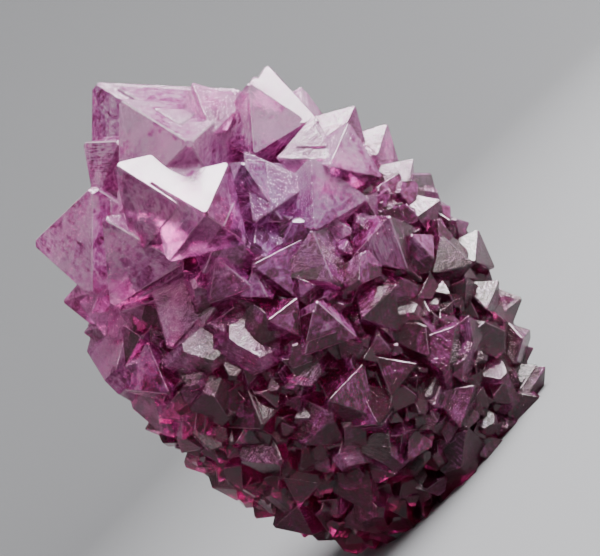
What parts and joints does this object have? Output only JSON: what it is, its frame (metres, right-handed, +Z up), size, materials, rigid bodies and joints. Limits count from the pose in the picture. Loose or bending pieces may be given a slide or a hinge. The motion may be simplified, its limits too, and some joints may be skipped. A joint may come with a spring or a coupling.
{
  "type": "alum crystal cluster",
  "caption": "Purple alum crystal cluster: octahedral crystals grown together into one piece, sawn flat underneath so that it stands upright on a surface.",
  "frame": {"origin": "middle of the flat cut face that the cluster rests on", "axes": "+Z up out of the cut face towards the largest crystals, -Y towards the side that the picture shows"},
  "size_m": [0.1395, 0.1412, 0.1872],
  "materials": {
    "alum": "clear to cloudy purple crystal, smooth bright faces"
  },
  "bodies": {
    "root": {"alum_crystals": "alum"}
  },
  "joints": []
}
